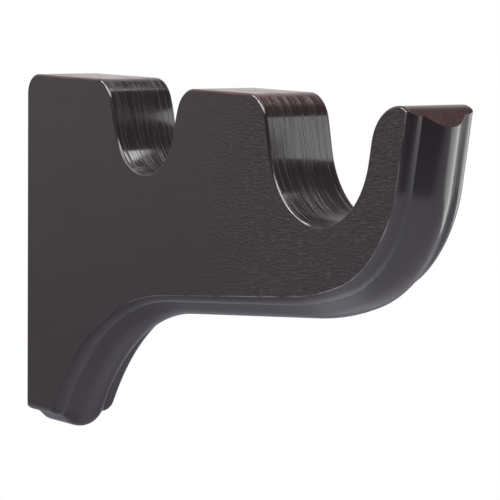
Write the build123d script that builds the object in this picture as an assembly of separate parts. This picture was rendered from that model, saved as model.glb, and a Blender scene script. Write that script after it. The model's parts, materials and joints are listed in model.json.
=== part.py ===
from build123d import *
from math import cos, radians, sin, tan
import os

# A double curtain pole bracket, cut from one board of wood. Its side outline has a leg that stands
# against the wall, an arm with two open cradles, and a moulding worked along the whole lower edge
# from both faces. Sizes are in millimetres and angles in degrees. X runs out from the wall, Y along
# the poles and Z up. The origin lies on the wall face, halfway up the leg and across the board.

# Board
thickness = 24.4
height = 124.0
wall_corner_radius = 7.0
middle_block_drop = 0.9
lip_drop = 1.1
edge_ease = 0.5

# Poles, and the cradles that take them
rear_pole_diameter = 34.9
rear_pole_play = 0.9
front_pole_diameter = 50.8
front_pole_play = 2.2
rear_pole_reach = 78.6
pole_spacing = 101.0
rear_pole_drop = 12.0
front_pole_drop = 12.9
rear_flare = 20.0
front_flare = 13.5
block_corner_radius = 10.0
lip_corner_radius = 14.0

# Lower edge, walked from the wall to the lip along the crest of the moulding
foot_length = 22.1
toe_radius = 10.8
leg_rise = 57.3
leg_straight = 4.8
arm_rise = 4.9
arm_wall = 29.4
belly_rise = 18.3
cup_radius = 49.5
cup_straight = 0.5
lip_wall = 23.4
lip_rise = 78.9

# Sloping top of the lip
lip_slope = 41.0
ridge_flat = 0.1
ridge_radius = 8.0

# Moulding section: a bead beside each face, and between them a nose with a round crest and straight flanks
bead_width = 3.1
bead_drop = 2.4
bead_radius = 4.0
quirk_width = 1.4
nose_height = 4.5
flank_lean = 43.0

# Keyhole slots in the back, for two wall screws
keyhole_spacing = 64.0
keyhole_diameter = 9.5
keyhole_neck = 4.8
keyhole_travel = 10.0
keyhole_depth = 10.0
keyhole_skin = 4.0

# Working allowances that the cutters remove or run past
saw_allowance = 2.0
overrun = 12.0

wall_top = height / 2
foot_level = -height / 2
middle_top = wall_top - middle_block_drop
lip_top = wall_top - lip_drop
rear_seat_radius = (rear_pole_diameter + rear_pole_play) / 2
front_seat_radius = (front_pole_diameter + front_pole_play) / 2
rear_axis = Vector(rear_pole_reach, wall_top - rear_pole_drop)
front_axis = Vector(rear_pole_reach + pole_spacing, wall_top - front_pole_drop)


def heading(rise):
    """Unit step in the side view that climbs at an angle from the X direction."""
    return Vector(1, 0).rotate(Axis.Z, rise)


def crossing(point, rise, other_point, other_rise):
    """Point of the side view where two lines meet, each given by a point on it and its rise."""
    step = heading(rise)
    other_step = heading(other_rise)
    along = (other_point - point).cross(other_step).Z / step.cross(other_step).Z
    return point + step * along


def setback(radius, turn):
    """Distance from a corner to where its rounding starts, for a corner that turns by an angle."""
    return radius * tan(radians(turn / 2))


def lower_runs(allowance):
    """Straight runs of the lower edge as points and rises, moved outward by an allowance."""
    foot = Vector(0, foot_level)
    toe = Vector(foot_length, foot_level)
    belly = front_axis - Vector(0, front_seat_radius + arm_wall)
    lip = front_axis + Vector(front_seat_radius + lip_wall, 0)
    runs = [(foot, 0), (toe, leg_rise), (belly, arm_rise), (belly, belly_rise), (lip, lip_rise)]
    return [(point + heading(rise - 90) * allowance, rise) for point, rise in runs]


def lower_corners(allowance):
    """Corners of the lower edge: toe, knee, belly and cup."""
    runs = lower_runs(allowance)
    return [crossing(*run, *following) for run, following in zip(runs, runs[1:])]


def lower_radii(allowance):
    """Rounding of each corner of the lower edge; the knee alone is hollow."""
    toe, knee, belly, cup = lower_corners(0)
    knee_reach = (knee - toe).length - setback(toe_radius, leg_rise) - leg_straight
    knee_radius = knee_reach / setback(1, leg_rise - arm_rise)
    belly_reach = (cup - belly).length - setback(cup_radius, lip_rise - belly_rise) - cup_straight
    belly_radius = belly_reach / setback(1, belly_rise - arm_rise)
    outward_radii = [toe_radius, -knee_radius, belly_radius, cup_radius]
    return [abs(radius + allowance) for radius in outward_radii]


def cradle_corners(axis, radius, flare, front_top, rear_top):
    """Corners of one cradle from its front top to its rear top.

    The flared walls are tangent to the seat, so they meet in a point under it. That point is the
    middle corner, and rounding it to the seat's radius makes the seat."""
    point = axis - Vector(0, radius / sin(radians(flare)))
    front = crossing(point, 90 - flare, Vector(0, front_top), 0)
    rear = crossing(point, 90 + flare, Vector(0, rear_top), 0)
    return [front, point, rear]


front_cradle = cradle_corners(front_axis, front_seat_radius, front_flare, lip_top, middle_top)
rear_cradle = cradle_corners(rear_axis, rear_seat_radius, rear_flare, middle_top, wall_top)


def lip_ridge():
    """Corner where the level top of the lip turns down into its slope."""
    level = setback(lip_corner_radius, 90 - front_flare) + ridge_flat + setback(ridge_radius, lip_slope)
    return front_cradle[0] + Vector(level, 0)


def side_outline():
    """Side view of the sawn board, with the lower edge left proud for the moulding."""
    wall_foot = Vector(0, foot_level - saw_allowance)
    lip_front = crossing(lip_ridge(), -lip_slope, *lower_runs(saw_allowance)[-1])
    lower = FilletPolyline(
        wall_foot, *lower_corners(saw_allowance), lip_front, radius=lower_radii(saw_allowance)
    )
    upper_corners = [lip_ridge(), *front_cradle, *rear_cradle, Vector(0, wall_top)]
    front_radii = [lip_corner_radius, front_seat_radius, block_corner_radius]
    rear_radii = [block_corner_radius, rear_seat_radius, block_corner_radius]
    upper = FilletPolyline(
        lip_front, *upper_corners, wall_foot,
        radius=[ridge_radius, *front_radii, *rear_radii, wall_corner_radius],
    )
    return make_face([*lower.edges(), *upper.edges()])


def sawn_board():
    """Board cut to the side outline, with the arrises of both faces eased."""
    board = extrude(Plane.XZ * side_outline(), amount=thickness / 2, both=True)
    faces = board.faces().filter_by(Axis.Y)
    return fillet(faces.edges(), edge_ease)


def moulding_waste():
    """Cross-section of what the moulding takes off: local X across the board, local Y into the wood.

    The flanks would meet in a peak beyond the crest line, and the crest's rounding brings it down to it."""
    face = thickness / 2
    bead_foot = nose_height + bead_drop
    bead_start = face - bead_width
    quirk = bead_start - quirk_width
    clear = face + overrun
    peak = quirk * tan(radians(flank_lean)) - nose_height
    crest_radius = peak / (1 / cos(radians(flank_lean)) - 1)
    nose = FilletPolyline((-quirk, nose_height), (0, -peak), (quirk, nose_height), radius=crest_radius)
    edges = [*nose.edges()]
    for side in (-1, 1):
        edges.append(Line((side * quirk, nose_height), (side * bead_start, nose_height)))
        edges.append(
            RadiusArc((side * bead_start, nose_height), (side * face, bead_foot), -side * bead_radius)
        )
        edges.append(Line((side * face, bead_foot), (side * clear, bead_foot)))
        edges.append(Line((side * clear, bead_foot), (side * clear, -overrun)))
    edges.append(Line((-clear, -overrun), (clear, -overrun)))
    return make_face(edges)


def moulding_cut():
    """Waste of the moulding, carried along the crest from behind the wall to past the lip's top."""
    start = Vector(-overrun, foot_level)
    lip, rise = lower_runs(0)[-1]
    end = lip + heading(rise) * (front_pole_drop + overrun)
    crest = Plane.XZ * FilletPolyline(start, *lower_corners(0), end, radius=lower_radii(0))
    section_plane = Plane(origin=(-overrun, 0, foot_level), x_dir=(0, 1, 0), z_dir=(1, 0, 0))
    return sweep(section_plane * moulding_waste(), path=crest)


def keyhole(level):
    """Undercut slot for one screw: the head goes in at the level and slides up under the skin."""
    slot_middle = Pos(0, level + keyhole_travel / 2)
    entry = extrude(Plane.YZ * Pos(0, level) * Circle(keyhole_diameter / 2), amount=keyhole_depth)
    neck_outline = SlotCenterToCenter(keyhole_travel, keyhole_neck, rotation=90)
    neck = extrude(Plane.YZ * slot_middle * neck_outline, amount=keyhole_depth)
    head_outline = SlotCenterToCenter(keyhole_travel, keyhole_diameter, rotation=90)
    head_plane = Plane.YZ.offset(keyhole_skin)
    head = extrude(head_plane * slot_middle * head_outline, amount=keyhole_depth - keyhole_skin)
    return entry + neck + head


def bracket():
    """The finished bracket."""
    body = sawn_board() - moulding_cut()
    for level in (-keyhole_spacing / 2, keyhole_spacing / 2):
        body -= keyhole(level)
    return body


os.makedirs("parts", exist_ok=True)
export_step(bracket(), "parts/bracket.step")
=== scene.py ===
"""Dress the double curtain pole bracket: its lacquered wooden body, the studio round it and the camera."""

import json
import logging
import math
from dataclasses import dataclass
from enum import Enum, IntEnum
from functools import partial, reduce

import bmesh
import bpy
import numpy as np
from mathutils import Matrix, Vector


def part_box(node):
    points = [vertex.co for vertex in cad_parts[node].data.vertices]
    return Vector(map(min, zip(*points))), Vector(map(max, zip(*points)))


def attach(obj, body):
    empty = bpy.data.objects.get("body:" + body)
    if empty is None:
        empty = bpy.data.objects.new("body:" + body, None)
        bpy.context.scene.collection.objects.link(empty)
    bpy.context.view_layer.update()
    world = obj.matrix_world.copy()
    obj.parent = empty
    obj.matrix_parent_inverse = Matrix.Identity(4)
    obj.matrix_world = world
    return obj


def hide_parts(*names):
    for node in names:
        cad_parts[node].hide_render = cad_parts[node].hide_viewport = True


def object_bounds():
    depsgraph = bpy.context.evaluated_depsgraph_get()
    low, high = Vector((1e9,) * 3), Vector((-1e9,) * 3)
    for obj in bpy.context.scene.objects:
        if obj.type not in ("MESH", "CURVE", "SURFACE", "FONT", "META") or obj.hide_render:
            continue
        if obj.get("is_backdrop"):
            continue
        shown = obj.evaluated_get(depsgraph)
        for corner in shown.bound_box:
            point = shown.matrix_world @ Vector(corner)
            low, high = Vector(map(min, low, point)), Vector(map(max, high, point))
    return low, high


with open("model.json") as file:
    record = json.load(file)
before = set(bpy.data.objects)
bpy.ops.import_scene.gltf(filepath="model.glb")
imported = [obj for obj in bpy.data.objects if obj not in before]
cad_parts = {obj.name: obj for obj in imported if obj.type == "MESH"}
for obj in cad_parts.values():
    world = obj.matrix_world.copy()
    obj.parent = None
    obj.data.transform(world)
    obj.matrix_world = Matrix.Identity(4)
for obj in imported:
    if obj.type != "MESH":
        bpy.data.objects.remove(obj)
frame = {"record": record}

LOG = logging.getLogger("bracket")
MM = 0.001
Array = np.ndarray
Span = tuple[float, float]
Place = tuple[float, float, float]
Colour = tuple[float, float, float]
Socket = bpy.types.NodeSocket
Outputs = bpy.types.NodeOutputs
Tree = bpy.types.NodeTree


class Zone(Enum):
    """Parts of the wood that were worked in different ways, numbered as the body's material slots."""

    FACE = 0
    TOP = 1
    MOULDING = 2
    LIP = 3
    BACK = 4


class Grain(Enum):
    """What the grain follows: the length of the board, or the worked edge it was sanded along."""

    BOARD = "board"
    EDGE = "edge"


class Run(IntEnum):
    """Straight runs of the side view, in the order in which the outline walks them."""

    FOOT = 0
    LEG = 1
    ARM = 2
    BELLY = 3
    LIP_FRONT = 4
    LIP_SLOPE = 5
    LIP_TOP = 6
    FRONT_OUTER = 7
    FRONT_INNER = 8
    MIDDLE_TOP = 9
    REAR_OUTER = 10
    REAR_INNER = 11
    WALL_TOP = 12
    BACK = 13


def outward(heading: Array) -> Array:
    """Unit outward directions in X and Z: a quarter turn to the right of headings in radians."""
    return np.stack([np.sin(heading), -np.cos(heading)], axis=-1)


def crossing(normals: Array, offsets: Array) -> Array:
    """Points where pairs of lines cross, each line being all points p with n . p equal to its offset."""
    return offsets @ np.linalg.inv(normals).T


def numbered(points: Array, first: int = 0) -> Array:
    """Numbers of a grid's points, counted from a first one."""
    return first + np.arange(points[..., 0].size).reshape(points.shape[:2])


def ring_quads(number: Array) -> Array:
    """Quads between each row of a grid and the next, the rows being rings of numbered points."""
    beside = np.roll(number, -1, axis=1)
    return np.stack([number[:-1], number[1:], beside[1:], beside[:-1]], axis=-1)


def link_object(name: str, data: bpy.types.ID) -> bpy.types.Object:
    """Make an object and link it into the scene.

    Args:
        name: Name of the object.
        data: Mesh, lamp or camera that it shows.

    Returns:
        The object.
    """
    made = bpy.data.objects.new(name, data)
    bpy.context.collection.objects.link(made)
    return made


@dataclass(frozen=True)
class WorkedDepths:
    """What was worked off the board at each slice across it, and the share of a bead's drop there."""

    moulding: Array
    ease: Array
    crown: Array
    bead: Array


@dataclass(frozen=True)
class MouldedSection:
    """Section across the board: a bead beside each face, a quirk, a nose, and eased arrises above.

    The nose has a round crest and straight flanks.
    """

    thickness: float
    bead_width: float = 3.1 * MM
    bead_drop: float = 2.4 * MM
    bead_radius: float = 4.0 * MM
    quirk_width: float = 1.4 * MM
    nose_height: float = 4.5 * MM
    flank_lean: float = 43.0
    edge_ease: float = 0.7 * MM
    ease_power: float = 1.25
    crown: float = 0.2 * MM
    bead_steps: int = 14
    ease_steps: int = 10
    crown_steps: int = 6
    crest_steps: int = 14
    flank_steps: int = 4

    STATION_DIGITS = 9

    @property
    def half(self) -> float:
        """Distance from the middle of the board to a face."""
        return self.thickness / 2

    @property
    def quirk(self) -> float:
        """Distance from the middle of the board to a quirk, where the nose ends."""
        return self.bead_start - self.quirk_width

    @property
    def bead_start(self) -> float:
        """Distance from the middle of the board to where a bead rises."""
        return self.half - self.bead_width

    @property
    def crest_radius(self) -> float:
        """Radius of the crest that leaves the nose its height between flanks that start in the quirks."""
        lean = math.radians(self.flank_lean)
        return (self.quirk * math.tan(lean) - self.nose_height) / (1 / math.cos(lean) - 1)

    def bead_middle(self) -> tuple[float, float]:
        """Centre of a bead's arc, which drops to the face over the bead's width.

        It lies on the square bisector of the chord, as far inside the wood as the radius asks.

        Returns:
            Its distance from the middle of the board, and its depth.
        """
        chord = math.hypot(self.bead_width, self.bead_drop)
        away = math.sqrt(self.bead_radius**2 - (chord / 2) ** 2) / chord
        across = self.half - self.bead_width / 2 - away * self.bead_drop
        return across, self.nose_height + self.bead_drop / 2 + away * self.bead_width

    def stations(self) -> Array:
        """Places across the board, in order, where a slice is taken.

        An arris of width w beside a face has stations w (1 - cos a) from that face, for even steps of the
        angle a. The crest and the beads have them radius times sin a from their centres, and the straight
        flanks have them evenly.

        Returns:
            Y of every slice.
        """
        middle = self.bead_middle()[0]
        bead_ends = [math.asin((end - middle) / self.bead_radius) for end in (self.bead_start, self.half)]
        bead = middle + self.bead_radius * np.sin(np.linspace(*bead_ends, self.bead_steps + 1))
        ease_turn = np.linspace(0, np.pi / 2, self.ease_steps + 1)
        ease = self.half - self.edge_ease * (1 - np.cos(ease_turn))
        crest_turn = np.radians(np.linspace(0, self.flank_lean, self.crest_steps + 1))
        crest = self.crest_radius * np.sin(crest_turn)
        flank = np.linspace(crest[-1], self.quirk, self.flank_steps + 1)
        crown = np.linspace(self.quirk, self.half - self.edge_ease, self.crown_steps + 1)
        one_side = np.concatenate([bead, ease, crest, flank, crown])
        return np.unique(np.round(np.concatenate([-one_side, one_side]), self.STATION_DIGITS))

    def moulding_depth(self, across: Array) -> Array:
        """Depth of the moulding below its crest.

        On the crest it is R less the root of R squared less y squared. Past the crest's end a flank goes
        straight on to the quirk. On a bead it is the arc about the bead's own centre.

        Args:
            across: Places across the board.

        Returns:
            Depth at each place.
        """
        out = np.abs(across)
        lean = math.radians(self.flank_lean)
        crest_end = self.crest_radius * math.sin(lean)
        on_crest = np.minimum(out, crest_end)
        crest = self.crest_radius - np.sqrt(self.crest_radius**2 - on_crest**2)
        nose = np.minimum(crest + (out - on_crest) * math.tan(lean), self.nose_height)
        middle, deep = self.bead_middle()
        bead = deep - np.sqrt(self.bead_radius**2 - (np.maximum(out, self.bead_start) - middle) ** 2)
        return np.where(out > self.bead_start, bead, nose)

    def depths(self, across: Array) -> WorkedDepths:
        """Everything that was worked off at each place.

        An arris is sanded nearly flat at half a right angle: with u the run to the face and w the height
        left, both as shares of its width, u^p + w^p = 1, and p lies between a chamfer's 1 and a rounding's
        2. The slight crown that sanding leaves across a seat grows with the square of Y. The share of a
        bead's drop is 0 up to where the bead rises, and 1 at the face.

        Args:
            across: Places across the board.

        Returns:
            The depths, and the share of a bead's drop.
        """
        moulding = self.moulding_depth(across)
        run = np.clip((np.abs(across) - (self.half - self.edge_ease)) / self.edge_ease, 0, 1)
        ease = self.edge_ease * (1 - (1 - run**self.ease_power) ** (1 / self.ease_power))
        crown = self.crown * (across / self.half) ** 2
        bead = np.maximum(moulding - self.nose_height, 0) / self.bead_drop
        return WorkedDepths(moulding, ease, crown, bead)


@dataclass(frozen=True)
class Bend:
    """A corner of the outline at every slice: its points, how much each is rubbed, and what follows it."""

    points: Array
    rubbed: Array
    zone: Zone
    next_run: Run


@dataclass(frozen=True)
class SideOutline:
    """Side view of the bracket, walked from the foot at the wall, out along the lower edge, back on top.

    The corner after a run is known by that run. A seat's crown is a multiple of the section's crown, a
    rub's fall is the power by which it fades round a corner, and between a sink's ends, as shares of a
    bend, the beads come back to their usual drop.
    """

    height: float
    rear_axis: Span
    rear_seat_radius: float
    front_axis: Span
    front_seat_radius: float
    wall_corner_radius: float = 7.0 * MM
    middle_block_drop: float = 0.9 * MM
    lip_drop: float = 1.1 * MM
    rear_flare: float = 20.0
    front_flare: float = 13.5
    block_corner_radius: float = 10.0 * MM
    lip_corner_radius: float = 14.0 * MM
    foot_length: float = 22.1 * MM
    toe_radius: float = 10.8 * MM
    leg_rise: float = 57.3
    leg_straight: float = 4.8 * MM
    arm_rise: float = 4.9
    arm_wall: float = 29.4 * MM
    belly_rise: float = 18.3
    cup_radius: float = 49.5 * MM
    cup_straight: float = 0.5 * MM
    lip_wall: float = 23.4 * MM
    lip_rise: float = 78.9
    lip_slope: float = 41.0
    ridge_flat: float = 0.1 * MM
    ridge_radius: float = 8.0 * MM
    rear_bow: float = 0.12 * MM
    belly_sink: float = 0.65 * MM
    arc_spacing: float = 0.9 * MM
    arc_step: float = 4.0
    run_spacing: float = 3.0 * MM
    lip_steps: int = 16

    ZONES = (Zone.MOULDING,) * 5 + (Zone.LIP,) + (Zone.TOP,) * 7 + (Zone.BACK,)
    LEVEL_RUNS = [Run.LIP_TOP, Run.MIDDLE_TOP, Run.WALL_TOP]
    FRONT_WALLS = [Run.FRONT_OUTER, Run.FRONT_INNER]
    REAR_WALLS = [Run.REAR_OUTER, Run.REAR_INNER]
    SEAT_CROWNS = {Run.FRONT_OUTER: 1.0, Run.REAR_OUTER: 2.5}
    RUB_FALLS = {Run.REAR_INNER: 5.0}
    USUAL_RUB_FALL = 1.5
    SINK_ENDS = {Run.ARM: (2.0, 3.0), Run.BELLY: (0.55, 0.95)}
    NO_SINK = (-1.0, 0.0)
    MOST_SPACED_STEPS = 60

    def headings(self) -> Array:
        """Headings of the straight runs, each turn taken the short way round.

        Returns:
            Fourteen angles in radians.
        """
        degrees = [0, self.leg_rise, self.arm_rise, self.belly_rise, self.lip_rise]
        degrees += [180 - self.lip_slope, 180, 270 - self.front_flare, 90 + self.front_flare, 180]
        degrees += [270 - self.rear_flare, 90 + self.rear_flare, 180, 270]
        return np.radians(degrees)

    def offsets(self) -> Array:
        """Distance of every straight run from the origin, along its own outward direction.

        Returns:
            Fourteen distances. A cradle's walls are tangent to its seat, so each lies the seat's radius
            inside the distance of the cradle's axis.
        """
        normal = outward(self.headings())
        front = np.array(self.front_axis)
        rear = np.array(self.rear_axis)
        top = self.height / 2
        toe = np.array([self.foot_length, -top])
        belly = front - [0, self.front_seat_radius + self.arm_wall]
        lip = front + [self.front_seat_radius + self.lip_wall, 0]
        lip_top = top - self.lip_drop
        middle_top = top - self.middle_block_drop
        front_walls = normal[self.FRONT_WALLS] @ front - self.front_seat_radius
        rear_walls = normal[self.REAR_WALLS] @ rear - self.rear_seat_radius
        lip_corner = crossing(normal[[Run.LIP_TOP, Run.FRONT_OUTER]], np.array([lip_top, front_walls[0]]))
        level = self.setback(self.lip_corner_radius, 90 - self.front_flare) + self.ridge_flat
        ridge = lip_corner + [level + self.setback(self.ridge_radius, self.lip_slope), 0]
        lower = [top, normal[Run.LEG] @ toe, normal[Run.ARM] @ belly]
        lower += [normal[Run.BELLY] @ belly, normal[Run.LIP_FRONT] @ lip]
        upper = [normal[Run.LIP_SLOPE] @ ridge, lip_top, *front_walls, middle_top, *rear_walls, top, 0.0]
        return np.array(lower + upper)

    @staticmethod
    def setback(radius: float, turn: float) -> float:
        """Distance from a corner to where its rounding starts, for a turn in degrees."""
        return radius * math.tan(math.radians(turn / 2))

    @staticmethod
    def pair(run: Run) -> list[Run]:
        """A run and the one after it."""
        return [run, Run((run + 1) % len(Run))]

    def corners(self) -> Array:
        """Points where each run meets the next, before anything is worked off."""
        normal, offset = outward(self.headings()), self.offsets()
        return np.stack([crossing(normal[self.pair(run)], offset[self.pair(run)]) for run in Run])

    def radii(self) -> Array:
        """Rounding of the corner after every run, zero for a sharp one.

        Returns:
            Fourteen radii. The knee's and the belly's take up what their neighbours leave of a run.
        """
        toe, knee, belly, cup = self.corners()[:Run.LIP_FRONT]
        knee_reach = np.linalg.norm(knee - toe) - self.setback(self.toe_radius, self.leg_rise)
        knee_radius = (knee_reach - self.leg_straight) / self.setback(1, self.leg_rise - self.arm_rise)
        belly_reach = np.linalg.norm(cup - belly)
        belly_reach -= self.setback(self.cup_radius, self.lip_rise - self.belly_rise) + self.cup_straight
        belly_radius = belly_reach / self.setback(1, self.belly_rise - self.arm_rise)
        lower = [self.toe_radius, knee_radius, belly_radius, self.cup_radius, 0.0, self.ridge_radius]
        front = [self.lip_corner_radius, self.front_seat_radius, self.block_corner_radius]
        rear = [self.block_corner_radius, self.rear_seat_radius, self.block_corner_radius]
        return np.array(lower + front + rear + [self.wall_corner_radius, 0.0])

    def lip_bend(self, depths: WorkedDepths) -> Bend:
        """Slope and ridge of the lip at every slice, from the moulding up to the level top.

        A point w from the top is c + (r - e) n(w) on the ridge's arc: c its centre, r its radius, e the
        ease and n(w) the outward direction leaning w from upright. Past the slope's angle it goes straight
        on. The path starts where it meets the front run, drawn in by the moulding: on the slope, or on the
        arc where the two outward directions have the cosine (q - n . c) / (r - e), q the run's offset.

        Args:
            depths: What was worked off at each slice.

        Returns:
            The bend, followed by the lip's level top.
        """
        heading = self.headings()[Run.LIP_FRONT]
        front, slope = outward(heading), math.radians(self.lip_slope)
        down = np.array([math.cos(slope), -math.sin(slope)])
        lean = outward(np.pi - slope / 2)
        centre = self.corners()[Run.LIP_SLOPE] - lean * self.ridge_radius / math.cos(slope / 2)
        radius = self.ridge_radius - depths.ease
        left = self.offsets()[Run.LIP_FRONT] - depths.moulding - front @ centre
        straight = (left - radius * (front @ outward(np.pi - slope))) / (front @ down)
        on_arc = np.pi - heading - np.arccos(np.clip(left / radius, -1, 1))
        first = np.where(straight >= 0, slope + straight / self.ridge_radius, on_arc)
        turned = first[:, None] * np.linspace(1, 0, self.lip_steps + 1)
        arc = centre + radius[:, None, None] * outward(np.pi - np.minimum(turned, slope))
        points = arc + down * (np.maximum(turned - slope, 0) * self.ridge_radius)[..., None]
        return Bend(points, np.zeros(self.lip_steps + 1), Zone.LIP, Run.LIP_TOP)

    def sink(self, run: Run, share: Array) -> Array:
        """How much further the beads drop along a bend: in full, then a smooth step back to nothing.

        Args:
            run: Run before the bend.
            share: Places along the bend, from 0 to 1.

        Returns:
            Further drop at each place.
        """
        start, end = self.SINK_ENDS.get(run, self.NO_SINK)
        left = np.clip((end - share) / (end - start), 0, 1)
        return self.belly_sink * left**2 * (3 - 2 * left)

    def arc_steps(self, turn: float, radius: float) -> int:
        """Number of steps round an arc, by its angle, and by its length up to a limit."""
        by_length = min(abs(turn) * radius / self.arc_spacing, self.MOST_SPACED_STEPS)
        return math.ceil(max(abs(math.degrees(turn)) / self.arc_step, by_length))

    def bend(self, run: Run, depths: WorkedDepths) -> Bend:
        """Corner after a run at every slice, drawn in by the depth that was worked off there.

        A rounded corner is the arc c + (s r - d) n(a): c its centre, r its radius, s plus one where it
        stands out and minus one where it is hollow, d the depth at the slice, and n(a) the outward
        direction as it swings from one run's to the next one's. A sharp corner is where two runs cross,
        each moved inward by its own depth.

        Args:
            run: Run before the corner.
            depths: What was worked off at each slice.

        Returns:
            The bend, rubbed beside the level tops, less and less round the corner, and not in hollows.
        """
        if run == Run.LIP_FRONT:
            return self.lip_bend(depths)
        pair = self.pair(run)
        heading = self.headings()[pair]
        worked = [depths.moulding if self.ZONES[each] is Zone.MOULDING else depths.ease for each in pair]
        radius = self.radii()[run]
        if radius == 0.0:
            drawn_in = self.offsets()[pair] - np.stack(worked, axis=-1)
            point = crossing(outward(heading), drawn_in)[:, None, :]
            return Bend(point, np.zeros(1), self.ZONES[run], pair[1])
        turn = (heading[1] - heading[0] + np.pi) % (2 * np.pi) - np.pi
        stands = np.sign(turn) * radius
        centre = self.corners()[run] - outward(heading[0] + turn / 2) * stands / math.cos(turn / 2)
        share = np.linspace(0, 1, self.arc_steps(turn, radius) + 1)
        inset = (worked[0] + depths.crown * self.SEAT_CROWNS.get(run, 0.0))[:, None]
        inset = inset + np.outer(depths.bead, self.sink(run, share))
        arc = centre + (stands - inset)[..., None] * outward(heading[0] + turn * share)
        from_top = share if run in self.LEVEL_RUNS else 1 - share
        rubbed = (1 - from_top) ** self.RUB_FALLS.get(run, self.USUAL_RUB_FALL)
        return Bend(arc, rubbed * (turn > 0), self.ZONES[run], pair[1])

    def straight(self, bend: Bend, following: Bend) -> Array:
        """Points between two bends, divided evenly.

        A wall of the rear cradle bows by b sin(2 pi s) at the share s of its length, so it is steepest
        halfway up.

        Args:
            bend: Bend before the run.
            following: Bend after it.

        Returns:
            Points of shape (slices, points, 2), without the ends.
        """
        run = bend.next_run
        start = bend.points[:, -1:]
        gap = following.points[:, :1] - start
        spacing = self.arc_spacing if run in self.REAR_WALLS else self.run_spacing
        steps = math.ceil(np.linalg.norm(gap, axis=-1).max() / spacing)
        share = np.linspace(0, 1, steps + 1)[1:-1]
        points = start + gap * share[:, None]
        if run in self.REAR_WALLS:
            heading = self.headings()[run]
            bow = np.sign(heading - np.pi) * self.rear_bow * np.sin(2 * np.pi * share)
            points = points + bow[:, None] * outward(heading)
        return points

    def slices(self, depths: WorkedDepths) -> tuple[Array, Array, Array]:
        """Outline of every slice across the board: its bends, and the straight runs between them.

        Args:
            depths: What was worked off at each slice.

        Returns:
            Points of shape (slices, points, 2), the zone number that follows each point, and how much each
            point is rubbed: 1 on the level tops, falling to 0 round the corners beside them, 0 in hollows.
        """
        bends = [self.bend(run, depths) for run in Run if run != Run.LIP_SLOPE]
        parts, zones, rubbed = [], [], []
        for bend, following in zip([bends[-1], *bends], bends):
            straight = self.straight(bend, following)
            parts += [bend.points, straight]
            zones += [bend.zone.value] * (bend.points.shape[1] - 1)
            zones += [self.ZONES[bend.next_run].value] * (straight.shape[1] + 1)
            level = float(bend.next_run in self.LEVEL_RUNS)
            rubbed += [bend.rubbed, np.full(straight.shape[1], level)]
        return np.concatenate(parts, axis=1), np.array(zones), np.concatenate(rubbed)


@dataclass(frozen=True)
class KeyholeSlot:
    """Undercut slot in the back: a screw head enters the round end and slides up behind the neck."""

    level: float
    diameter: float = 9.5 * MM
    neck: float = 4.8 * MM
    travel: float = 10.0 * MM
    depth: float = 10.0 * MM
    skin: float = 4.0 * MM
    steps: int = 64

    LEAST_SINE = 1e-9

    def slot_reach(self, turn: Array, width: float) -> Array:
        """Distance from the entry's middle to the edge of a round-ended slot, by the turn from upright.

        Beside the slot the edge is half the width over the sine of the turn. Over its end it is the far
        crossing of a circle about the top of the travel, and behind the entry the near end's circle.

        Args:
            turn: Angles from upright.
            width: Width of the slot.

        Returns:
            Distance at each angle.
        """
        half = width / 2
        sine = np.abs(np.sin(turn))
        cosine = np.cos(turn)
        beside = half / np.maximum(sine, self.LEAST_SINE)
        top = self.travel * cosine + np.sqrt(np.maximum(half**2 - (self.travel * sine) ** 2, 0))
        over_end = (cosine > 0) & (beside * cosine > self.travel)
        return np.where(cosine <= 0, half, np.where(over_end, top, beside))

    def rings(self) -> Array:
        """Rings down the slot: the skin's edge outside and inside, the head's slot, and its floor.

        Returns:
            Four rings of points, shape (4, steps, 3), starting from the top and going towards +Y.
        """
        turn = np.linspace(0, 2 * np.pi, self.steps, endpoint=False)
        skin = np.maximum(self.slot_reach(turn, self.neck), self.diameter / 2)
        head = self.slot_reach(turn, self.diameter)
        reach = np.stack([skin, skin, head, head])
        deep = np.array([0.0, self.skin, self.skin, self.depth])
        x = np.broadcast_to(deep[:, None], reach.shape)
        return np.stack([x, reach * np.sin(turn), self.level + reach * np.cos(turn)], axis=-1)


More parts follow.
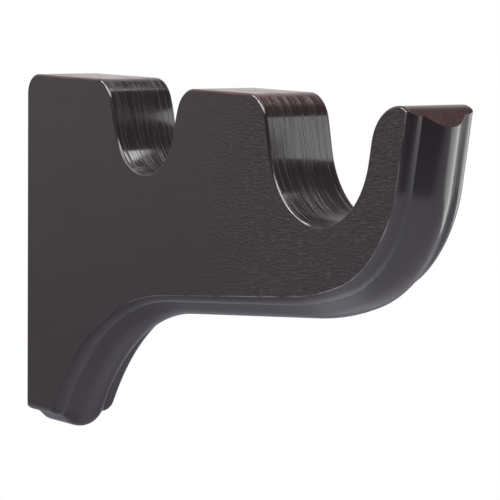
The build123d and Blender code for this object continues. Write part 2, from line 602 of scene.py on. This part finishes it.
class Wiring:
    """Adds nodes to a tree and links them as they are made."""

    def __init__(self, tree: Tree) -> None:
        """Work on one node tree."""
        self.tree = tree

    def add(self, kind: str, settings: dict | None = None, **inputs: object) -> bpy.types.Node:
        """Add one node.

        Args:
            kind: Node type without its Shader prefix.
            settings: Properties of the node by name.
            inputs: Values or output sockets by input name, underscores standing for spaces. A name such as
                at0 gives the input's number instead.

        Returns:
            The node.
        """
        node = self.tree.nodes.new(f"ShaderNode{kind}")
        for label, value in (settings or {}).items():
            setattr(node, label, value)
        for label, value in inputs.items():
            key = int(label[2:]) if label[:2] == "at" and label[2:].isdigit() else label.replace("_", " ")
            socket = node.inputs[key]
            if isinstance(value, Socket):
                self.tree.links.new(value, socket)
            else:
                socket.default_value = value
        return node

    def math(self, operation: str, *values: object) -> Socket:
        """Add a Math node on up to three values and give its output."""
        inputs = {f"at{place}": value for place, value in enumerate(values)}
        return self.add("Math", {"operation": operation}, **inputs).outputs[0]

    def product(self, *values: object) -> Socket:
        """Multiply values in order and give the result."""
        return reduce(partial(self.math, "MULTIPLY"), values)

    def largest(self, *values: object) -> Socket:
        """Give the largest of some values."""
        return reduce(partial(self.math, "MAXIMUM"), values)

    def scaled(self, vector: object, factors: object) -> Socket:
        """Multiply a vector by another, part by part, and give the result."""
        return self.add("VectorMath", {"operation": "MULTIPLY"}, at0=vector, at1=factors).outputs["Vector"]

    def measure(self, operation: str, vector: object, other: Place) -> Socket:
        """Give a number from two vectors, such as their dot product or their distance."""
        return self.add("VectorMath", {"operation": operation}, at0=vector, at1=other).outputs["Value"]

    def noise(self, vector: object, scale: float, detail: float, **more: float) -> Socket:
        """Add a noise and give its value."""
        return self.add("TexNoise", Vector=vector, Scale=scale, Detail=detail, **more).outputs[0]

    def attribute(self, name: str) -> Socket:
        """Read a number that the mesh carries at its points."""
        return self.add("Attribute", {"attribute_name": name}).outputs["Fac"]

    def ramp(self, value: object, span: Span, levels: Span = (0.0, 1.0)) -> Socket:
        """Add a smooth step of a value over a span from one level to another and give its output."""
        ends = dict(zip(("From_Min", "From_Max", "To_Min", "To_Max"), (*span, *levels)))
        return self.add("MapRange", {"interpolation_type": "SMOOTHSTEP"}, Value=value, **ends).outputs[0]

    def mix(self, share: object, first: object, second: object) -> Socket:
        """Add a mix of two numbers and give its output."""
        return self.add("Mix", at0=share, at2=first, at3=second).outputs[0]

    def blend(self, share: object, first: object, second: object) -> Socket:
        """Add a mix of two colours and give its output."""
        return self.add("Mix", {"data_type": "RGBA"}, at0=share, at6=first, at7=second).outputs[2]

    def group(self, tree: Tree, **inputs: object) -> Outputs:
        """Place a node group with its own values and give its outputs."""
        return self.add("Group", {"node_tree": tree}, **inputs).outputs


class GroupWiring(Wiring):
    """Wiring of a new shader node group, which takes a vector and numbers and gives numbers."""

    def __init__(self, name: str, numbers: list[str], results: list[str]) -> None:
        """Start the group with its named sockets.

        Args:
            name: Name of the group.
            numbers: Names of the numbers that it takes besides its Vector.
            results: Names of the numbers that it gives.
        """
        super().__init__(bpy.data.node_groups.new(name, "ShaderNodeTree"))
        sockets = self.tree.interface
        sockets.new_socket("Vector", in_out="INPUT", socket_type="NodeSocketVector")
        for label in numbers:
            sockets.new_socket(label, in_out="INPUT", socket_type="NodeSocketFloat")
        for label in results:
            sockets.new_socket(label, in_out="OUTPUT", socket_type="NodeSocketFloat")
        self.given = self.tree.nodes.new("NodeGroupInput").outputs
        self.result = self.tree.nodes.new("NodeGroupOutput").inputs

    def give(self, **results: Socket) -> Tree:
        """Finish the group.

        Args:
            results: Its results by name.

        Returns:
            The group.
        """
        for label, value in results.items():
            self.tree.links.new(value, self.result[label])
        return self.tree


# Scales of the noises, per metre but for the figure's, and the spans of their values that are stretched
FALLING = (1.0, 0.0)
NOISE_SPAN = (0.3, 0.7)
FIGURE_SCALE = 0.17
PEEL_SCALE = 900.0
RIPPLE_SCALES = (330.0, 330.0, 1700.0)
CREST_SPAN = (0.52, 0.7)
GROOVE_SPAN = (0.0, 0.35)
PATCH_SCALE = 90.0
PATCH_SPAN = (0.35, 0.65)


def fibre_group() -> Tree:
    """Wood fibre: streaks along the first axis, thin across it, and a broad slow figure behind them.

    Both are noise on coordinates squeezed by their own frequency along and across the grain.

    Returns:
        The node group, with Fibre and Figure from 0 to 1.
    """
    wires = GroupWiring("wood_fibre", ["Along", "Across"], ["Fibre", "Figure"])
    given = wires.given
    scale = wires.add("CombineXYZ", X=given["Along"], Y=given["Across"], Z=given["Across"]).outputs[0]
    place = wires.scaled(given["Vector"], scale)
    fibre = wires.noise(place, scale=1.0, detail=3.0, Roughness=0.6)
    figure = wires.noise(place, scale=FIGURE_SCALE, detail=2.0, Roughness=0.5)
    return wires.give(Fibre=wires.ramp(fibre, NOISE_SPAN), Figure=wires.ramp(figure, NOISE_SPAN))


def lacquer_group() -> Tree:
    """Sprayed lacquer: a soft orange peel, level ripples, and the open grain as narrow grooves in it.

    Returns:
        The node group, with the film's Height, and Crest from 0 to 1 towards the tops of the ripples.
    """
    wires = GroupWiring("lacquer_film", ["Fibre", "Peel", "Telegraph", "Ripple"], ["Height", "Crest"])
    given = wires.given
    peel = wires.noise(given["Vector"], scale=PEEL_SCALE, detail=1.0)
    peel_height = wires.product(peel, given["Peel"])
    wavy = wires.scaled(given["Vector"], RIPPLE_SCALES)
    ripple = wires.noise(wavy, scale=1.0, detail=1.0, Distortion=0.3)
    rippled = wires.math("MULTIPLY_ADD", ripple, given["Ripple"], peel_height)
    grooves = wires.ramp(given["Fibre"], GROOVE_SPAN)
    height = wires.math("MULTIPLY_ADD", grooves, given["Telegraph"], rippled)
    return wires.give(Height=height, Crest=wires.ramp(ripple, CREST_SPAN))


def arris_group() -> Tree:
    """Arris mask: it rises towards either face of the board and is broken by noise. It polishes the
    arrises, and carries the painted highlight laid along the moulding's arrises.

    Returns:
        The node group, with Mask from 0 to 1.
    """
    wires = GroupWiring("arris_polish_and_highlight", ["Half", "Width"], ["Mask"])
    given = wires.given
    across = wires.add("SeparateXYZ", Vector=given["Vector"]).outputs["Y"]
    inside = wires.math("SUBTRACT", given["Half"], wires.math("ABSOLUTE", across))
    near = wires.math("SUBTRACT", 1.0, wires.math("DIVIDE", inside, given["Width"]))
    patch = wires.noise(given["Vector"], scale=PATCH_SCALE, detail=3.0)
    return wires.give(Mask=wires.product(wires.ramp(near, (0.0, 1.0)), wires.ramp(patch, PATCH_SPAN)))


@dataclass(frozen=True)
class StainedWood:
    """Dark stained wood under clear lacquer, with the grain, wear and painted highlights of one worked
    surface.

    The open grain is the span of X over which the grain opens from nearly closed. The far grain is how
    much of its depth is left on the far part of the board.
    """

    name: str
    grain: Grain
    stain: Colour
    figure: Colour
    roughness: float
    groove_roughness: float
    along: float
    across: float
    peel: float
    telegraph: float
    bump: float
    # Colour laid on worn corners, and as painted highlight on arrises and the ripples' crests.
    rubbed: Colour = (0.05, 0.05, 0.05)
    wear: float = 0.0
    # Share of the rubbed colour laid along the arrises: a painted highlight, partly edge wear.
    arris_highlight_and_wear: float = 0.0
    arris_width: float = 0.5 * MM
    arris_roughness: float = 0.12
    open_grain: Span = (-2.0, -1.0)
    ripple: float = 0.0
    far_grain: float = 1.0
    # Share of the rubbed colour laid on the ripples' crests: a painted sheen.
    crest_sheen: float = 0.0
    fleck: float = 0.0

    IOR = 1.5
    GRAIN_LEVELS = (0.1, 1.0)
    FLECK_SPAN = (0.15, 0.85)
    DULL_SPAN = (0.1, 0.5)

    def colour(
        self, wires: Wiring, fibre: Outputs, crest: Socket, arris: Socket, opened: Socket
    ) -> Socket:
        """Stain with its figure and flecks, rubbed on worn corners, and lightened on arrises (painted
        highlight and wear) and on the ripples' crests (painted sheen).

        Args:
            wires: Wiring of the material.
            fibre: Outputs of the wood fibre.
            crest: Crests of the ripples.
            arris: Mask of the arrises.
            opened: How far the grain is open.

        Returns:
            The colour.
        """
        off_arris = wires.product(wires.math("SUBTRACT", 1.0, arris), self.wear)
        corner_worn = wires.product(wires.attribute("rubbed"), off_arris)
        # Painted highlight along the arrises, partly edge wear.
        arris_highlight_wear_mask = wires.product(arris, self.arris_highlight_and_wear, opened)
        # Painted sheen on the crests of the lacquer's ripples.
        crest_sheen_mask = wires.product(crest, self.crest_sheen, opened)
        flecks = wires.ramp(fibre["Fibre"], self.FLECK_SPAN, FALLING)
        dark = wires.mix(self.fleck, fibre["Figure"], flecks)
        ground = wires.blend(dark, (*self.stain, 1.0), (*self.figure, 1.0))
        return wires.blend(wires.largest(corner_worn, arris_highlight_wear_mask, crest_sheen_mask), ground, (*self.rubbed, 1.0))

    def material(self, groups: dict[str, Tree], half: float) -> bpy.types.Material:
        """Build the material.

        Args:
            groups: The shared node groups by name.
            half: Distance from the middle of the board to a face.

        Returns:
            The material.
        """
        material = bpy.data.materials.new(self.name)
        material.use_nodes = True
        tree = material.node_tree
        wires = Wiring(tree)
        place = wires.add("TexCoord").outputs["Object"]
        parts = wires.add("SeparateXYZ", Vector=place).outputs
        grain_place = place
        if self.grain is Grain.EDGE:
            grain_place = wires.add("CombineXYZ", X=wires.attribute("along"), Y=parts["Y"]).outputs[0]
        fibre = wires.group(groups["fibre"], Vector=grain_place, Along=self.along, Across=self.across)
        arris = wires.group(groups["arris"], Vector=place, Half=half, Width=self.arris_width)["Mask"]
        opened = wires.ramp(parts["X"], self.open_grain, self.GRAIN_LEVELS)
        far_part = half / 3
        nearness = wires.ramp(parts["Y"], (-half, far_part), (1.0, self.far_grain))
        film = wires.group(
            groups["lacquer"], Vector=place, Fibre=fibre["Fibre"], Peel=self.peel,
            Telegraph=wires.product(opened, nearness, self.telegraph),
            Ripple=wires.product(opened, self.ripple),
        )
        colour = self.colour(wires, fibre, film["Crest"], arris, opened)
        dull = wires.product(wires.ramp(fibre["Fibre"], self.DULL_SPAN, FALLING), nearness)
        film_rough = wires.math("MULTIPLY_ADD", dull, self.groove_roughness, self.roughness)
        rough = wires.mix(arris, film_rough, self.arris_roughness)
        bump = wires.add("Bump", Strength=1.0, Distance=self.bump, Height=film["Height"])
        shader = tree.nodes["Principled BSDF"]
        shader.inputs["IOR"].default_value = self.IOR
        tree.links.new(colour, shader.inputs["Base Color"])
        tree.links.new(rough, shader.inputs["Roughness"])
        tree.links.new(bump.outputs["Normal"], shader.inputs["Normal"])
        return material


FINISHES = {
    # Its rubbed colour is laid only on the ripples' crests, as a painted sheen.
    Zone.FACE: StainedWood(
        "planed_face", Grain.BOARD,
        stain=(0.0105, 0.0055, 0.0065), figure=(0.0125, 0.006, 0.007), rubbed=(0.047, 0.042, 0.046),
        roughness=0.22, groove_roughness=0.05, along=280.0, across=1500.0,
        peel=0.25, telegraph=0.2, bump=0.04 * MM, arris_roughness=0.24,
        open_grain=(0.10, 0.165), ripple=4.6, crest_sheen=0.42,
    ),
    Zone.TOP: StainedWood(
        "sanded_top", Grain.EDGE,
        stain=(0.014, 0.008, 0.010), figure=(0.011, 0.007, 0.008), rubbed=(0.075, 0.020, 0.018),
        roughness=0.13, groove_roughness=0.38, along=25.0, across=2000.0,
        peel=0.2, telegraph=1.6, bump=0.018 * MM, wear=0.9, far_grain=0.55,
    ),
    # Its rubbed colour is a light grey line along the arrises: a painted highlight, partly worn edge.
    Zone.MOULDING: StainedWood(
        "moulded_edge", Grain.EDGE,
        stain=(0.008, 0.005, 0.008), figure=(0.012, 0.006, 0.009), rubbed=(0.16, 0.15, 0.16),
        roughness=0.17, groove_roughness=0.06, along=20.0, across=800.0,
        peel=0.2, telegraph=0.5, bump=0.014 * MM,
        arris_highlight_and_wear=0.9, arris_width=0.22 * MM, arris_roughness=0.2, open_grain=(0.02, 0.14),
    ),
    Zone.LIP: StainedWood(
        "lip_slope", Grain.BOARD,
        stain=(0.058, 0.019, 0.020), figure=(0.016, 0.010, 0.011),
        roughness=0.13, groove_roughness=0.07, along=420.0, across=1100.0,
        peel=0.3, telegraph=0.4, bump=0.012 * MM, fleck=0.85,
    ),
    Zone.BACK: StainedWood(
        "wall_side", Grain.BOARD,
        stain=(0.030, 0.010, 0.010), figure=(0.020, 0.008, 0.008),
        roughness=0.40, groove_roughness=0.12, along=400.0, across=900.0,
        peel=0.4, telegraph=0.8, bump=0.03 * MM, arris_roughness=0.45,
    ),
}


@dataclass(frozen=True)
class WallWindow:
    """Opening left in the skin on the wall side, by slices across the board and points down the wall."""

    left: int
    middle: int
    right: int
    top: int
    halfway: int
    foot: int

    def spans(self) -> list[tuple[int, int]]:
        """Upper and lower end of the opening for the lower keyhole, then for the upper one."""
        return [(self.halfway, self.foot), (self.top, self.halfway)]

    def surrounds(self, number: Array, span: tuple[int, int], rim: Array) -> list[list[int]]:
        """Flat faces between half the opening and a keyhole's rim, one on each side of the board's middle.

        Args:
            number: Numbers of the skin's points.
            span: Upper and lower end of that half.
            rim: Numbers of the rim's points, from its top towards +Y.

        Returns:
            The points of both faces, in order.
        """
        upper, lower = span
        left, middle, right = self.left, self.middle, self.right
        bottom = len(rim) // 2
        closed = np.append(rim, rim[0])
        right_half = [
            number[middle:right, upper], number[right, upper:lower],
            number[right:middle:-1, lower], number[middle:middle + 1, lower], closed[bottom::-1],
        ]
        left_half = [
            number[middle:middle + 1, upper], closed[:bottom - 1:-1], number[middle:left:-1, lower],
            number[left, lower:upper:-1], number[left:middle, upper],
        ]
        return [np.concatenate(half).tolist() for half in (right_half, left_half)]


@dataclass(frozen=True)
class Skin:
    """Band of the bracket's edges: a grid of the side outline's points by slice, closed on itself."""

    grid: Array
    stations: Array
    zones: Array
    rubbed: Array

    def walked(self, row: int) -> Array:
        """Distance walked round one slice to each of its points."""
        steps = np.linalg.norm(np.diff(self.grid[row], axis=0), axis=1)
        return np.concatenate([[0.0], np.cumsum(steps)])

    def band(self, window: WallWindow) -> tuple[Array, Array]:
        """Quads of the band, apart from the wall's opening.

        Args:
            window: The opening.

        Returns:
            Quads as numbers of points, and the zone of each.
        """
        quads = ring_quads(numbered(self.grid))
        keep = np.ones(quads.shape[:2], dtype=bool)
        keep[window.left:window.right, window.top:window.foot] = False
        return quads[keep], np.broadcast_to(self.zones, keep.shape)[keep]


@dataclass(frozen=True)
class BracketBody:
    """The wooden bracket: one closed skin through slices across the board, with two keyholes in it."""

    outline: SideOutline
    section: MouldedSection
    keyhole_spacing: float = 64.0 * MM
    sharp_angle: float = 30.0

    HAIR = 1e-7
    QUAD_SIDES = 4

    @classmethod
    def from_frame(cls) -> "BracketBody":
        """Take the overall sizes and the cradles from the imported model.

        Returns:
            The body.
        """
        low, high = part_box("bracket")
        mounts = {mount["name"]: mount for mount in frame["record"]["mounts"]}
        seats = {}
        for side in ("rear", "front"):
            mount = mounts[f"{side}_cradle"]
            seats[f"{side}_axis"] = (mount["pos_m"][0], mount["pos_m"][2])
            seats[f"{side}_seat_radius"] = mount["dims"]["r_mm"] * MM
        outline = SideOutline(height=high[2] - low[2], **seats)
        return cls(outline, MouldedSection(thickness=high[1] - low[1]))

    def keyholes(self) -> list[KeyholeSlot]:
        """The lower and the upper keyhole."""
        return [KeyholeSlot(level) for level in (-self.keyhole_spacing / 2, self.keyhole_spacing / 2)]

    def skin(self) -> Skin:
        """Loft the side outline through all slices.

        Returns:
            The skin.
        """
        stations = self.section.stations()
        flat, zones, rubbed = self.outline.slices(self.section.depths(stations))
        across = np.broadcast_to(stations[:, None], flat.shape[:2])
        grid = np.stack([flat[..., 0], across, flat[..., 1]], axis=-1)
        return Skin(grid, stations, zones, rubbed)

    def window(self, skin: Skin) -> WallWindow:
        """Opening for the keyholes, as wide as the nose and one step short of the wall's top and foot.

        Args:
            skin: Skin that it is left in.

        Returns:
            The opening.
        """
        wall = np.flatnonzero(skin.zones == Zone.BACK.value)[1:-1]
        sides = np.array([-self.section.quirk, 0.0, self.section.quirk])
        left, middle, right = np.searchsorted(skin.stations, sides - self.HAIR)
        return WallWindow(left, middle, right, wall[0], wall[len(wall) // 2], wall[-1])

    def build(self) -> bpy.types.Object:
        """Build the closed skin: the band of edges, the two faces, and the keyholes let into the opening.

        Returns:
            The object, in place, without materials.
        """
        skin = self.skin()
        window = self.window(skin)
        number = numbered(skin.grid)
        quads, zones = skin.band(window)
        vertices = [skin.grid.reshape(-1, 3)]
        walls = []
        caps = [number[0].tolist(), number[-1, ::-1].tolist()]
        count = number.size
        for slot, span in zip(self.keyholes(), window.spans()):
            rings = slot.rings()
            ring = numbered(rings, count)
            count += ring.size
            vertices.append(rings.reshape(-1, 3))
            walls += ring_quads(ring[::-1]).reshape(-1, 4).tolist()
            caps += [ring[-1].tolist(), *window.surrounds(number, span, ring[0])]
        rest = [Zone.BACK.value] * len(walls) + [Zone.FACE.value] * 2 + [Zone.BACK.value] * (len(caps) - 2)
        mesh = bpy.data.meshes.new("bracket_body")
        mesh.from_pydata(np.concatenate(vertices), [], quads.tolist() + walls + caps)
        mesh.polygons.foreach_set("material_index", np.append(zones, rest).astype(np.int32))
        for name, values in (("along", skin.walked(window.middle)), ("rubbed", skin.rubbed)):
            spread = np.zeros(count, dtype=np.float32)
            spread[:number.size] = np.tile(values, len(number))
            mesh.attributes.new(name, "FLOAT", "POINT").data.foreach_set("value", spread)
        self.close(mesh)
        self.crease(mesh)
        return link_object("bracket_body", mesh)

    def close(self, mesh: bpy.types.Mesh) -> None:
        """Merge the doubled points where a keyhole's rings meet, so the skin is closed.

        Args:
            mesh: The body's mesh.
        """
        work = bmesh.new()
        work.from_mesh(mesh)
        bmesh.ops.remove_doubles(work, verts=work.verts, dist=self.HAIR)
        bmesh.ops.recalc_face_normals(work, faces=work.faces)
        work.to_mesh(mesh)
        work.free()

    def crease(self, mesh: bpy.types.Mesh) -> None:
        """Shade the skin smooth, sharp at its arrises and round every flat many-sided face.

        Args:
            mesh: The body's mesh.
        """
        mesh.polygons.foreach_set("use_smooth", np.ones(len(mesh.polygons), dtype=bool))
        mesh.set_sharp_from_angle(angle=math.radians(self.sharp_angle))
        sharp = np.zeros(len(mesh.edges), dtype=bool)
        mesh.edges.foreach_get("use_edge_sharp", sharp)
        edge_of = np.zeros(len(mesh.loops), dtype=np.int32)
        mesh.loops.foreach_get("edge_index", edge_of)
        sides = np.zeros(len(mesh.polygons), dtype=np.int32)
        mesh.polygons.foreach_get("loop_total", sides)
        sharp[edge_of[np.repeat(sides > self.QUAD_SIDES, sides)]] = True
        mesh.edges.foreach_set("use_edge_sharp", sharp)

    def dress(self, piece: bpy.types.Object) -> None:
        """Give every zone its finish.

        Args:
            piece: The body's object.
        """
        groups = {"fibre": fibre_group(), "lacquer": lacquer_group(), "arris": arris_group()}
        for zone in Zone:
            piece.data.materials.append(FINISHES[zone].material(groups, self.section.half))

    def place(self) -> bpy.types.Object:
        """Build and dress the body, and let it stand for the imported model's bracket.

        Returns:
            The finished piece.
        """
        piece = self.build()
        self.dress(piece)
        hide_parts("bracket")
        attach(piece, "root")
        return piece


@dataclass(frozen=True)
class SoftBox:
    """A soft lamp that faces a point beside the bracket's middle."""

    name: str
    azimuth: float
    elevation: float
    distance: float
    width: float
    height: float
    radiance: float
    aim: Place = (0.0, 0.0, 0.0)

    def place(self, middle: Vector) -> None:
        """Hang the lamp at its azimuth from +X and elevation, facing its aim.

        Args:
            middle: Middle of the bracket, from which the aim is measured.
        """
        lamp = bpy.data.lights.new(self.name, "AREA")
        lamp.shape = "RECTANGLE"
        lamp.size = self.width
        lamp.size_y = self.height
        lamp.energy = math.pi * self.width * self.height * self.radiance
        turn, climb = math.radians(self.azimuth), math.radians(self.elevation)
        level = math.cos(climb)
        toward = Vector((math.cos(turn) * level, math.sin(turn) * level, math.sin(climb)))
        piece = link_object(self.name, lamp)
        piece.location = middle + Vector(self.aim) + toward * self.distance
        piece.rotation_euler = toward.to_track_quat("Z", "Y").to_euler()
        piece.visible_camera = False


LAMPS = (
    SoftBox("key_box", -88.0, 46.0, distance=1.6, width=1.3, height=0.6, radiance=12.3),
    SoftBox("left_strip", -135.0, 48.0, distance=1.6, width=1.0, height=0.22, radiance=12.0),
    SoftBox("top_strip", 105.0, 69.0, distance=1.2, width=0.8, height=0.25, radiance=8.8),
    SoftBox(
        "side_panel", 80.0, 1.0, distance=1.4, width=0.9925, height=1.57, radiance=3.4,
        aim=(0.964, -0.170, 0.10),
    ),
    SoftBox(
        "low_panel", 80.0, 1.0, distance=1.4, width=0.9925, height=0.81, radiance=3.4,
        aim=(-0.014, 0.002, -0.28),
    ),
)


@dataclass(frozen=True)
class Floor:
    """Matt floor below the bracket, with painted shade on its wall side and paler in front of it, which
    the camera sees as white outside shadows.

    It ends softly past a front edge, a back edge and a round edge. For the camera it also ends a short way
    round the bracket, and when seen from below.
    """

    drop: float = 0.09
    size: float = 2.0
    centre: Span = (0.2, 0.0)
    # Darker colour on the wall side: painted shade that the bracket's lower parts reflect.
    painted_shade_colour: Colour = (0.25, 0.247, 0.278)
    front_colour: Colour = (0.80, 0.79, 0.86)
    seen_colour: Colour = (0.5, 0.5, 0.5)
    seen_lift: float = 0.35
    roughness: float = 0.9
    pale_way: Place = (1.0, -0.15, 0.0)
    pale_span: Span = (-0.05, 0.09)
    front_way: Place = (0.9, -0.45, 0.0)
    front_edge: Span = (0.58, 0.64)
    back_edge: Span = (0.3, 0.42)
    round_edge: Span = (0.55, 1.0)
    seen_edge: Span = (0.28, 0.46)

    def place(self, foot: float) -> None:
        """Lay the floor.

        Args:
            foot: Level of the bracket's foot.
        """
        reach = self.size / 2 * np.array([-1, 1])
        x = self.centre[0] + reach
        y = self.centre[1] + reach
        corners = np.stack([x[[0, 1, 1, 0]], y[[0, 0, 1, 1]], np.full(4, foot - self.drop)], axis=-1)
        mesh = bpy.data.meshes.new("floor")
        mesh.from_pydata(corners, [], [[0, 1, 2, 3]])
        floor = link_object("floor", mesh)
        mesh.materials.append(self.paint())
        floor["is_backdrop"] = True

    def paint(self) -> bpy.types.Material:
        """Build the floor's material.

        Returns:
            The material.
        """
        material = bpy.data.materials.new("floor_paint")
        material.use_nodes = True
        tree = material.node_tree
        wires = Wiring(tree)
        place = wires.add("TexCoord").outputs["Object"]
        flat = wires.scaled(place, (1.0, 1.0, 0.0))
        seen = wires.add("LightPath").outputs["Is Camera Ray"]
        # Painted shade on the wall side, rising to the pale colour in front.
        pale = wires.ramp(wires.measure("DOT_PRODUCT", flat, self.pale_way), self.pale_span)
        painted = wires.blend(pale, (*self.painted_shade_colour, 1.0), (*self.front_colour, 1.0))
        shader = tree.nodes["Principled BSDF"]
        shader.inputs["Roughness"].default_value = self.roughness
        shader.inputs["Specular IOR Level"].default_value = 0.0
        colour = wires.blend(seen, painted, (*self.seen_colour, 1.0))
        tree.links.new(colour, shader.inputs["Base Color"])
        lift = wires.add("Emission", Strength=wires.product(seen, self.seen_lift)).outputs[0]
        lifted = wires.add("AddShader", at0=shader.outputs[0], at1=lift).outputs[0]
        clear = wires.add("BsdfTransparent").outputs[0]
        reach = wires.measure("DISTANCE", flat, (*self.centre, 0.0))
        past_round = wires.ramp(reach, self.round_edge)
        past_front = wires.ramp(wires.measure("DOT_PRODUCT", flat, self.front_way), self.front_edge)
        past_back = wires.ramp(wires.add("SeparateXYZ", Vector=place).outputs["Y"], self.back_edge)
        past_seen = wires.product(seen, wires.ramp(reach, self.seen_edge))
        from_below = wires.product(seen, wires.add("NewGeometry").outputs["Backfacing"])
        fade = wires.largest(past_round, past_front, past_back, past_seen, from_below)
        faded = wires.add("MixShader", at0=fade, at1=lifted, at2=clear).outputs[0]
        tree.links.new(faded, tree.nodes["Material Output"].inputs["Surface"])
        return material


@dataclass(frozen=True)
class Surround:
    """Light of the room by direction, and plain white for the camera.

    The light from a direction d rises with d . b, b being the way to the backdrop. On the near side of the
    room it has levels of its own. It changes again towards the ceiling and below the horizon.
    """

    backdrop_way: Place = (-0.82, 0.57, 0.0)
    behind_span: Span = (0.05, 0.5)
    behind_levels: Span = (0.24, 0.76)
    beside_span: Span = (-0.6, -0.46)
    beside_levels: Span = (0.80, 0.54)
    dim_span: Span = (0.0, 0.3)
    dim_levels: Span = (0.3, 1.0)
    far_side: Span = (-0.3, 0.0)
    ground_span: Span = (-0.2, 0.4)
    near_ground: Span = (0.26, 0.14)
    far_ground: Span = (0.26, 0.46)
    horizon: Span = (-0.22, -0.03)
    ceiling_span: Span = (0.5, 0.75)
    ceiling_level: float = 0.26

    def place(self) -> None:
        """Make the room the scene's world."""
        world = bpy.data.worlds.new("studio")
        bpy.context.scene.world = world
        world.use_nodes = True
        tree = world.node_tree
        wires = Wiring(tree)
        way = wires.add("TexCoord").outputs["Generated"]
        facing = wires.measure("DOT_PRODUCT", way, self.backdrop_way)
        parts = wires.add("SeparateXYZ", Vector=way).outputs
        far = wires.ramp(parts["Y"], self.far_side)
        behind = wires.ramp(facing, self.behind_span, self.behind_levels)
        beside = wires.ramp(parts["Y"], self.beside_span, self.beside_levels)
        near_wall = wires.product(beside, wires.ramp(facing, self.dim_span, self.dim_levels))
        walls = wires.mix(far, near_wall, behind)
        near_ground = wires.ramp(facing, self.ground_span, self.near_ground)
        far_ground = wires.ramp(facing, self.ground_span, self.far_ground)
        ground = wires.mix(far, near_ground, far_ground)
        above = wires.mix(wires.ramp(parts["Z"], self.ceiling_span), walls, self.ceiling_level)
        level = wires.mix(wires.ramp(parts["Z"], self.horizon), ground, above)
        seen = wires.add("LightPath").outputs["Is Camera Ray"]
        tree.links.new(wires.largest(level, seen), tree.nodes["Background"].inputs["Strength"])
        tree.nodes["Background"].inputs["Color"].default_value = (1.0, 1.0, 1.0, 1.0)


@dataclass(frozen=True)
class Viewpoint:
    """Camera at the photograph's viewing angle, its turns in radians and its lens in millimetres."""

    stand: Place = (0.92519, -0.52944, 0.10437)
    yaw: float = 0.9864
    pitch: float = 0.0982
    roll: float = -0.0093
    lens: float = 216.0
    sensor: float = 36.0
    sight: float = 50.0

    def place(self) -> None:
        """Set up the camera."""
        data = bpy.data.cameras.new("camera")
        data.lens = self.lens
        data.sensor_width = self.sensor
        data.clip_end = self.sight
        camera = link_object("camera", data)
        aim = Matrix.Rotation(self.yaw, 4, "Z") @ Matrix.Rotation(math.pi / 2 - self.pitch, 4, "X")
        camera.matrix_world = Matrix.Translation(self.stand) @ aim @ Matrix.Rotation(-self.roll, 4, "Z")
        bpy.context.scene.camera = camera


def main() -> None:
    """Build the bracket and the studio."""
    logging.basicConfig(level=logging.INFO, format="%(name)s: %(message)s")
    low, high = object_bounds()
    body = BracketBody.from_frame().place()
    LOG.info("piece %s: %d faces", body.name, len(body.data.polygons))
    Viewpoint().place()
    Floor().place(low[2])
    Surround().place()
    for box in LAMPS:
        box.place((low + high) / 2)
        LOG.info("lamp %s", box.name)
    bpy.context.scene.view_settings.view_transform = "Standard"


if __name__ == "__main__":
    main()
